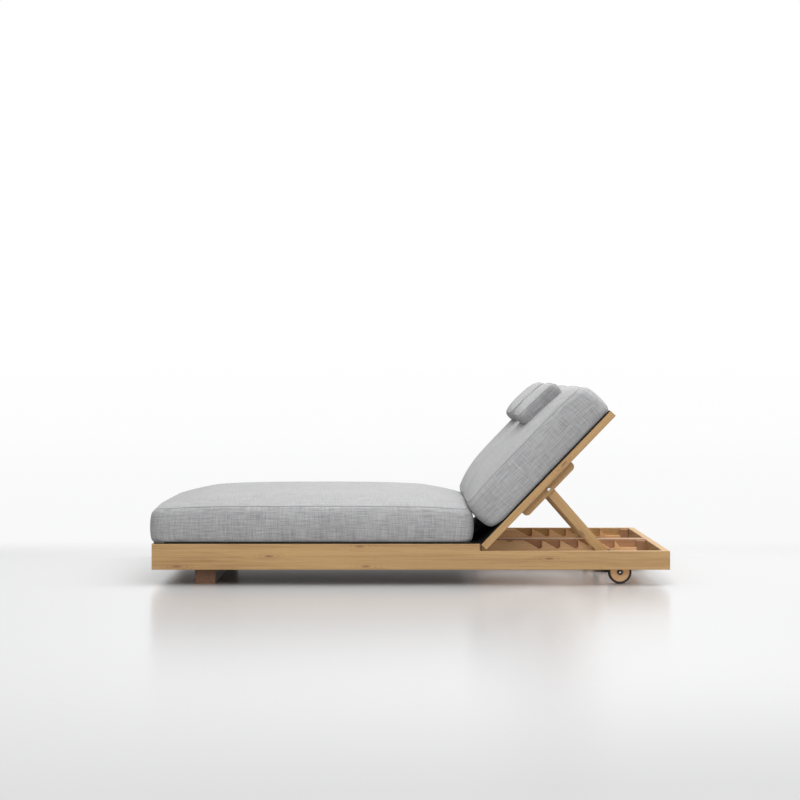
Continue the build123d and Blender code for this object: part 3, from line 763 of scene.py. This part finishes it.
class LOUNGER_OT_stage(bpy.types.Operator):
    """Sets the camera, the pale floor, the soft lights and the white background"""

    bl_idname = "lounger.stage"
    bl_label = "Stage"

    def execute(self, context):
        stage = context.scene.lounger_stage
        lens = bpy.data.cameras.new("Camera")
        lens.lens, lens.sensor_width, lens.clip_end = stage.lens, SENSOR_WIDTH, VIEW_END
        camera = bpy.data.objects.new("Camera", lens)
        camera.location = stage.camera_place
        camera.rotation_euler = Euler((math.pi / 2 - stage.camera_tilt, 0, 0))
        context.collection.objects.link(camera)
        context.scene.camera = camera
        context.scene.view_settings.view_transform = "Standard"
        self.floor(stage)
        for name, place, target, size, share in LAMPS:
            self.light(name, place, target, size, stage.key_power * share)
        self.sky(context)
        return {"FINISHED"}

    def light(self, name, place, target, size, power):
        lamp = bpy.data.lights.new(name, "AREA")
        lamp.shape, lamp.size, lamp.energy = "SQUARE", size, power
        piece = bpy.data.objects.new(name, lamp)
        piece.location = place
        piece.rotation_euler = (Vector(target) - Vector(place)).to_track_quat("-Z", "Y").to_euler()
        bpy.context.collection.objects.link(piece)

    def floor(self, stage):
        finish = Finish("Pale_floor")
        _, y, _ = finish.parts(finish.object_place())
        grain = finish.noise(finish.object_place(), 40.0, detail=2)
        colour = finish.blended(grain, stage.floor, shaded(stage.floor, 1.02))
        surface = {"Base Color": colour, "Roughness": 0.22, "Specular IOR Level": 0.38}
        surface = finish.node("ShaderNodeBsdfPrincipled", surface)
        seen = finish.node("ShaderNodeLightPath", out="Is Camera Ray")
        glossy = finish.node("ShaderNodeLightPath", out="Is Glossy Ray")
        level = band(finish, y, FLOOR_TONE) + band(finish, y, FLOOR_HORIZON)
        white = {"Color": finish.joined(level, level, level + FLOOR_COOL), "Strength": 1.0}
        white = finish.node("ShaderNodeEmission", white)
        edges = band(finish, y, FLOOR_FAR) + band(finish, y, FLOOR_NEAR)
        share = (edges * (seen + glossy).clamped()).clamped()
        mixed = finish.node("ShaderNodeMixShader", {0: share, 1: surface, 2: white})
        finish.node("ShaderNodeOutputMaterial", {"Surface": mixed})
        bm = bmesh.new()
        bmesh.ops.create_grid(bm, x_segments=8, y_segments=8, size=FLOOR_SIZE)
        piece = finished_piece("Floor", bm, finish.material, smooth=False)

    def sky(self, context):
        world = bpy.data.worlds.new("White_studio")
        context.scene.world = world
        world.use_nodes = True
        sky = Finish.of_tree(world.node_tree)
        seen = sky.node("ShaderNodeLightPath", out="Is Camera Ray")
        glossy = sky.node("ShaderNodeLightPath", out="Is Glossy Ray")
        through = sky.node("ShaderNodeLightPath", out="Is Transmission Ray")
        direct = (seen + glossy + through).clamped()
        _, _, z = sky.parts(sky.node("ShaderNodeTexCoord", out="Generated"))
        strength = band(sky, z, SKY_LIGHT) * (1 - direct) + band(sky, z, SKY_SEEN) * direct
        background = sky.node("ShaderNodeBackground", {"Color": (1, 1, 1, 1), "Strength": strength})
        sky.node("ShaderNodeOutputWorld", {"Surface": background})


class LOUNGER_OT_timber(bpy.types.Operator):
    """Gives every wooden part a grain that runs along its own boards, and adds the racks' leads"""

    bl_idname = "lounger.timber"
    bl_label = "Timber"

    def execute(self, context):
        timber = context.scene.lounger_timber
        level, across, up = (0, 0, 0), (0, 0, -math.pi / 2), (0, math.pi / 2, 0)
        leaned, strut = (0, REST_ANGLE, 0), (0, -STRUT_ANGLE, 0)
        pale = (timber.pale, timber.warm)
        rack = (timber.rack_lit_pale, timber.rack_lit_warm)
        inner = (timber.inner_shaded_pale, timber.inner_shaded_warm)
        foot = (timber.foot_shaded_pale, timber.foot_shaded_warm)
        crossing = ["hinge_cross_rails", "wheel_cross_rails", "seat_slats"]
        # Each board: material name, colours, grain turn, pattern shift, share of painted top light and coat,
        # and its nodes. The racks take a lighter copy of the timber as painted light, and the inner boards,
        # corner blocks and foot beam take darker copies as painted shade.
        boards = (
            ("Rail_near", pale, level, 0.0, 1.0, ["side_rail_near"]),
            ("Rail_far", pale, level, 3.3, 1.0, ["side_rail_far"]),
            ("Centre_beam", inner, level, 5.1, 0.6, ["centre_beam"]),
            ("End_rails", pale, across, 7.7, 1.0, ["foot_end_rail", "head_end_rail"]),
            ("Cross_rails", inner, across, 9.2, 0.5, crossing),
            ("Ledgers", inner, level, 12.4, 0.4, ["seat_ledgers", "wheel_arms", "foot_cross_rails"]),
            ("Foot_beam", foot, across, 15.8, 0.6, ["foot_beam"]),
            ("Racks_near", rack, level, 18.3, 0.6, ["rack_near_outer", "rack_near_inner"]),
            ("Racks_far", rack, level, 21.9, 0.6, ["rack_far_outer", "rack_far_inner"]),
            ("Corner_blocks", inner, up, 24.6, 0.6, ["corner_blocks"]),
        )
        for name, colours, turn, shift, top_light_and_coat, nodes in boards:
            self.give(name, timber, colours, turn, shift, top_light_and_coat, nodes)
        for index, bay in enumerate(BAYS):
            back, own = f"back_{bay}_", BACK_SHIFT + BAY_SHIFT * index
            # Each back board: material name, grain turn, extra pattern shift, share of painted top light and
            # coat, and its nodes.
            for name, turn, shift, top_light_and_coat, nodes in (
                ("Back_rails", leaned, 0.0, 1.0, [back + "outer_rail", back + "inner_rail"]),
                ("Back_cross", across, 2.1, 0.8, [back + "top_rail", back + "bottom_rail", back + "slats"]),
                ("Cleats", leaned, 4.7, 1.0, [back + "cleats"]),
                ("Strut_legs", strut, 6.9, 1.0, [f"strut_{bay}_legs"]),
                ("Strut_bar", across, 8.8, 0.8, [f"strut_{bay}_bar"]),
            ):
                self.give(f"{name}_{bay}", timber, pale, turn, own + shift, top_light_and_coat, nodes)
            for row in ROWS:
                self.lead(f"rack_lead_{bay}_{row}", f"rack_{bay}_{row}")
        return {"FINISHED"}

    def give(self, name, timber, colours, turn, shift, top_light_and_coat, nodes):
        """Dresses nodes in one timber, whose pattern is shifted so that no two boards match."""
        place = tuple(shift * share for share in SHIFT_SHARES)
        colours = [tuple(colour) for colour in (*colours, timber.knot)]
        dress(timber_finish(name, colours, timber.ring_width, turn, place, top_light_and_coat), *nodes)

    def lead(self, name, rack):
        """The plain board that carries a rack's line on towards the hinges."""
        low, high = (Vector(corner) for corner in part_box(rack))
        low, high = Vector((LEAD_START, low.y, low.z)), Vector((low.x + LEAD_LAP, high.y, high.z))
        bm = bmesh.new()
        bmesh.ops.create_cube(bm, size=1.0)
        bmesh.ops.scale(bm, vec=high - low, verts=bm.verts)
        bmesh.ops.translate(bm, vec=(low + high) / 2, verts=bm.verts)
        bmesh.ops.bevel(bm, geom=bm.edges[:], offset=BOARD_EASE, segments=2, affect="EDGES")
        finish = frame["nodes"][rack].data.materials[0]
        rigid_piece(name, bm, finish, Matrix(), BOARD_CRISP, "base")


def from_circle(profile, radius):
    """The profile, with its radii counted from a circle."""
    return [(along, radius + more) for along, more in profile]


def both_ends(half):
    """A whole profile from its half, mirrored end for end."""
    return half + [(-along, radius) for along, radius in reversed(half)]


class LOUNGER_OT_wheels(bpy.types.Operator):
    """Turns the wooden wheels with their rubber tyres"""

    bl_idname = "lounger.wheels"
    bl_label = "Wheels"

    def execute(self, context):
        timber, fittings = context.scene.lounger_timber, context.scene.lounger_fittings
        # The wheels take the racks' lighter copy of the timber, as painted light.
        colours = [tuple(colour) for colour in (timber.rack_lit_pale, timber.rack_lit_warm, timber.knot)]
        rubber = rubber_finish("Tyre_rubber", fittings.rubber)
        outer, inner = fittings.wheel_r, fittings.wheel_r - fittings.tyre_t
        disc = both_ends(DISC_FACE + from_circle(DISC_RIM, inner))
        tyre = both_ends(from_circle(TYRE_SHOULDER, inner) + from_circle(TYRE_TREAD, outer))
        for bay, side in BAYS.items():
            for row in ROWS:
                node = f"wheel_disc_{bay}_{row}"
                low, high = (Vector(corner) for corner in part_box(node))
                y = ((low + high) / 2).y
                place = Matrix.Translation((WHEEL_PLACE.x, y, WHEEL_PLACE.z))
                place = place @ Matrix.Rotation(math.pi / 2, 4, "Z")
                shift = (60 + side * 2.3 + y * 5, 1.7 + y, 0.4)
                grain = (0, 0.35, 0)
                name = f"Wheel_wood_{bay}_{row}"
                wood = timber_finish(name, colours, timber.ring_width, grain, shift, 0.8)
                for kind, profile, ring, finish in (
                    ("wood", disc, False, wood),
                    ("tyre", tyre, True, rubber),
                ):
                    bm = bmesh.new()
                    turned(bm, profile, ring)
                    name, body = f"wheel_{bay}_{row}_{kind}", f"wheel_{bay}_{row}"
                    piece = rigid_piece(name, bm, finish, place, WHEEL_CRISP, body)
                    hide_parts(node)
        return {"FINISHED"}


def bolt_cap(bm, radius, height):
    """A low domed bolt head with a six-sided socket, facing along local X."""
    socket = radius * SOCKET_SHARE
    up, out = SOCKET_EASE
    bottom = height * SOCKET_FLOOR
    profile = [(-CAP_SUNK, 0.0), (-CAP_SUNK, radius * CAP_RIM)]
    profile += [(height * rise, radius * share) for rise, share in DOME]
    profile += [(height * up, socket * out), (bottom, socket), (bottom, 0.0)]
    turned(bm, profile, steps=48)
    for vert in bm.verts:
        reach = math.hypot(vert.co.y, vert.co.z)
        if TINY < reach < socket * 1.01:
            sector = math.atan2(vert.co.z, vert.co.y) % (math.pi / 3) - math.pi / 6
            vert.co.yz *= math.cos(math.pi / 6) / math.cos(sector)


class LOUNGER_OT_fittings(bpy.types.Operator):
    """Finishes the hinges in painted-shade steel and the bolts, and adds the bolts' heads and painted-shadow
    rings at the wheels' axles
    """

    bl_idname = "lounger.fittings"
    bl_label = "Fittings"

    def execute(self, context):
        fittings = context.scene.lounger_fittings
        steel = steel_finish("Satin_steel", fittings.steel)
        # Painted shadow: near-black steel for the rings behind the axle heads and for the CAD axles, standing
        # in for the shadow gap round each axle.
        dark = steel_finish("Painted_shadow_ring", shaded(fittings.steel, 0.08), 0.5)
        # Painted shade: the hinge leaves take the steel at half its colour, for the shade round the hinges.
        painted_shade_steel = steel_finish("Painted_shade_steel", shaded(fittings.steel, 0.5), 0.42)
        dress(painted_shade_steel, "fixed_hinge_leaves")
        dress(dark, "wheel_axles")
        for bay, side in BAYS.items():
            dress(painted_shade_steel, f"back_{bay}_hinge_leaves")
            dress(steel, f"back_{bay}_strut_bolts")
            facings = dict(zip(ROWS, (side, -side)))
            for row, facing in facings.items():
                at = Vector((BOLT_PLACE.x, side * BOLT_REACH[row], BOLT_PLACE.z))
                self.head(f"strut_bolt_head_{bay}_{row}", at, facing, BOLT_HEAD, steel, f"back_{bay}")
            for row, facing in facings.items():
                at = Vector((WHEEL_PLACE.x, side * AXLE_REACH[row], WHEEL_PLACE.z))
                self.head(f"axle_head_{bay}_{row}", at, facing, AXLE_HEAD, steel, "base")
                seat = at - Vector((0, facing * SHADOW_RING_BEHIND, 0))
                self.shadow_ring(f"axle_shadow_ring_{bay}_{row}", seat, facing, dark)
        return {"FINISHED"}

    def place(self, at, facing):
        return Matrix.Translation(at) @ Matrix.Rotation(facing * math.pi / 2, 4, "Z")

    def head(self, name, at, facing, size, finish, body):
        bm = bmesh.new()
        bolt_cap(bm, *size)
        rigid_piece(name, bm, finish, self.place(at, facing), STEEL_CRISP, body)

    def shadow_ring(self, name, at, facing, finish):
        inner, outer = SHADOW_RING_RADII
        back, rim, front = -0.0006, 0.0003, 0.0007
        profile = [(back, inner), (back, outer), (rim, outer), (front, outer - SHADOW_RING_EASE), (front, inner)]
        bm = bmesh.new()
        turned(bm, profile, ring=True)
        rigid_piece(name, bm, finish, self.place(at, facing), STEEL_CRISP, "base")


def hem(name, body, first, last, finish):
    """A rolled hem sewn along an edge of the textile, between two points."""
    run = Vector(last) - Vector(first)
    bm = bmesh.new()
    profile = [(0.0, 0.0), (0.0, HEM_END_R), (HEM_END, HEM_R), (run.length, HEM_R), (run.length, 0.0)]
    turned(bm, profile, steps=10)
    turn = Vector((1, 0, 0)).rotation_difference(run).to_matrix().to_4x4()
    place = Matrix.Translation(first) @ turn
    return rigid_piece(name, bm, finish, place, TEXTILE_CRISP, body)


def textile_strip(name, profile, low_y, high_y, finish):
    """A sheet of textile that follows a profile of (x, z) points between two places across."""
    bm = bmesh.new()
    verts = [bm.verts.new((x, low_y, z)) for x, z in profile]
    edges = [bm.edges.new(pair) for pair in zip(verts, verts[1:])]
    runs = [0.0]
    for (x0, z0), (x1, z1) in zip(profile, profile[1:]):
        runs.append(runs[-1] + math.hypot(x1 - x0, z1 - z0))
    made = bmesh.ops.extrude_edge_only(bm, edges=edges)
    new = [part for part in made["geom"] if isinstance(part, bmesh.types.BMVert)]
    bmesh.ops.translate(bm, vec=(0, high_y - low_y, 0), verts=new)
    layer = bm.loops.layers.uv.new("Cloth")
    for face in bm.faces:
        for loop in face.loops:
            at = loop.vert.co
            away = [(at.x - x) ** 2 + (at.z - z) ** 2 for x, z in profile]
            loop[layer].uv = (runs[away.index(min(away))], at.y)
    bmesh.ops.recalc_face_normals(bm, faces=bm.faces)
    bmesh.ops.solidify(bm, geom=list(bm.faces), thickness=TEXTILE_T)
    piece = finished_piece(name, bm, finish)
    piece.data.set_sharp_from_angle(angle=math.radians(TEXTILE_CRISP))
    return piece, runs[-1]


class LOUNGER_OT_textile(bpy.types.Operator):
    """Stretches the black support textile over the deck, the hinges and the backs"""

    bl_idname = "lounger.textile"
    bl_label = "Support textile"

    def execute(self, context):
        finish = textile_finish("Support_textile", context.scene.lounger_fabric.textile)
        (foot, low_y, _), (head, high_y, top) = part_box("seat_mesh")
        steps = range(DECK_STEPS + 1)
        deck = [(foot + (head - foot) * step / DECK_STEPS, top - TEXTILE_SUNK) for step in steps]
        hems = []
        for bay, side in BAYS.items():
            y, z = side * (high_y - DECK_HEM_IN), top + DECK_HEM_UP
            ends = (foot + DECK_HEM_FOOT_GAP, y, z), (head - DECK_HEM_HEAD_GAP, y, z)
            hems.append(hem(f"deck_hem_{bay}", "base", *ends, finish))
        rests = ["seat_slats", "side_rail_near"]
        self.lay("deck_textile", deck, (low_y, high_y), finish, "base", ["seat_mesh"], rests, hems)
        for bay, side in BAYS.items():
            across = sorted(side * edge for edge in BACK_EDGES)
            steps = range(BACK_STEPS + 1)
            back = [self.on_back(BACK_START + BACK_RUN * step / BACK_STEPS, BACK_ABOVE) for step in steps]
            y = side * BACK_HEM_Y
            ends = [back_matrix(along, BACK_HEM_ABOVE, y).translation for along in BACK_HEM_ENDS]
            hems = [hem(f"back_hem_{bay}", f"back_{bay}", *ends, finish)]
            nodes, rests = [f"back_{bay}_mesh"], [f"back_{bay}_outer_rail"]
            self.lay(f"back_textile_{bay}", back, across, finish, f"back_{bay}", nodes, rests, hems)
            self.flap(bay, across, head, top, finish)
        return {"FINISHED"}

    def on_back(self, along, above):
        place = back_matrix(along, above) @ Vector((0, 0, 0))
        return place.x, place.z

    def lay(self, name, profile, across, finish, body, nodes, rests, hems):
        """A sheet stretched along a profile and set on its body, in place of the CAD nodes that it hides."""
        low_y, high_y = across
        piece, length = textile_strip(name, profile, low_y, high_y, finish)
        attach(piece, body)
        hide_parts(*nodes)
        high_y - low_y

    def flap(self, bay, across, seat_x, seat_z, finish):
        """The textile's free run between the deck and the back, in a soft curve over the hinge."""
        first, last = Vector((seat_x - FLAP_LAP, seat_z - TEXTILE_SUNK)), Vector(self.on_back(*FLAP_END))
        last_hold = Vector(self.on_back(*FLAP_END_HOLD)) - last
        a, b, c, d = first, first + Vector(FLAP_START_HOLD), last + last_hold, last
        profile = []
        for step in range(FLAP_STEPS + 1):
            t = step / FLAP_STEPS
            point = a * (1 - t) ** 3 + b * 3 * t * (1 - t) ** 2 + c * 3 * t * t * (1 - t) + d * t**3
            profile.append((point.x, point.y))
        piece, length = textile_strip(f"hinge_textile_{bay}", profile, *across, finish)
        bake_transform(piece)
        across[1] - across[0]


class LOUNGER_OT_cushions(bpy.types.Operator):
    """Fills and places the seat cushion, both back cushions and both head pillows"""

    bl_idname = "lounger.cushions"
    bl_label = "Cushions"

    def execute(self, context):
        sizes, fabric = context.scene.lounger_cushions, context.scene.lounger_fabric
        piping = cloth_finish("Seam_cord", fabric, wear=0.4)
        low, high = (Vector(corner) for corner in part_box("seat_cushion"))
        low.x -= SEAT_OVERHANG
        seat_form = CushionForm(
            size=(high.x - low.x, high.y - low.y, SEAT_SEAM_H),
            crown=sizes.seat_crown,
            corner=sizes.seat_corner,
            **SEAT_SHAPE,
        )
        place = Matrix.Translation(((low.x + high.x) / 2, (low.y + high.y) / 2, low.z))
        cloth = cloth_finish("Deck_cushion_cloth", fabric, wear=0.78)
        cushion("seat_cushion_filled", "base", "seat_cushion", seat_form, place, cloth, piping, sizes)
        back_form = CushionForm(crown=sizes.back_crown, corner=sizes.back_corner, **BACK_SHAPE)
        pillow_form = CushionForm(**PILLOW_SHAPE)
        for index, (bay, side) in enumerate(BAYS.items()):
            body = f"back_{bay}"
            place = back_matrix(along=0.4065, above=0.0162, y=side * 0.3745)
            cloth = cloth_finish(f"Back_cloth_{bay}", fabric, (3.1 + index, 5.7, 0), wear=0.62)
            cushion(f"back_cushion_{bay}", body, body + "_cushion", back_form, place, cloth, piping, sizes)
            place = back_matrix(along=0.566, above=0.2035, y=side * 0.374, tilt=math.radians(2.985))
            # The pillows' side strips are darkened as painted shade.
            cloth = cloth_finish(f"Pillow_cloth_{bay}", fabric, (7.3, 1.9 + index, 0), wear=0.62, side_painted_shade=0.3)
            cushion(f"head_pillow_{bay}", body, body + "_pillow", pillow_form, place, cloth, piping, sizes)
        return {"FINISHED"}


class LOUNGER_PT_pieces(bpy.types.Panel):
    bl_idname = "LOUNGER_PT_pieces"
    bl_label = "Double chaise lounger"
    bl_space_type = "VIEW_3D"
    bl_region_type = "UI"
    bl_category = "Lounger"

    def draw(self, context):
        layout = self.layout
        for name, group, maker in SETTINGS:
            column = layout.column(align=True)
            for key in group.__annotations__ if group else ():
                column.prop(getattr(context.scene, name), key)
            column.operator(maker.bl_idname)


SETTINGS = (
    ("lounger_stage", LoungerStage, LOUNGER_OT_stage),
    ("lounger_timber", LoungerTimber, LOUNGER_OT_timber),
    ("lounger_wheels", None, LOUNGER_OT_wheels),
    ("lounger_fittings", LoungerFittings, LOUNGER_OT_fittings),
    ("lounger_fabric", LoungerFabric, LOUNGER_OT_textile),
    ("lounger_cushions", LoungerCushions, LOUNGER_OT_cushions),
)


def register():
    for name, group, maker in SETTINGS:
        if group:
            bpy.utils.register_class(group)
            setattr(bpy.types.Scene, name, bpy.props.PointerProperty(type=group))
        bpy.utils.register_class(maker)
    bpy.utils.register_class(LOUNGER_PT_pieces)


def unregister():
    bpy.utils.unregister_class(LOUNGER_PT_pieces)
    for name, group, maker in reversed(SETTINGS):
        bpy.utils.unregister_class(maker)
        if group:
            delattr(bpy.types.Scene, name)
            bpy.utils.unregister_class(group)


def main():
    register()
    for maker in ("stage", "timber", "wheels", "fittings", "textile", "cushions"):
        getattr(bpy.ops.lounger, maker)()


if __name__ == "__main__":
    main()
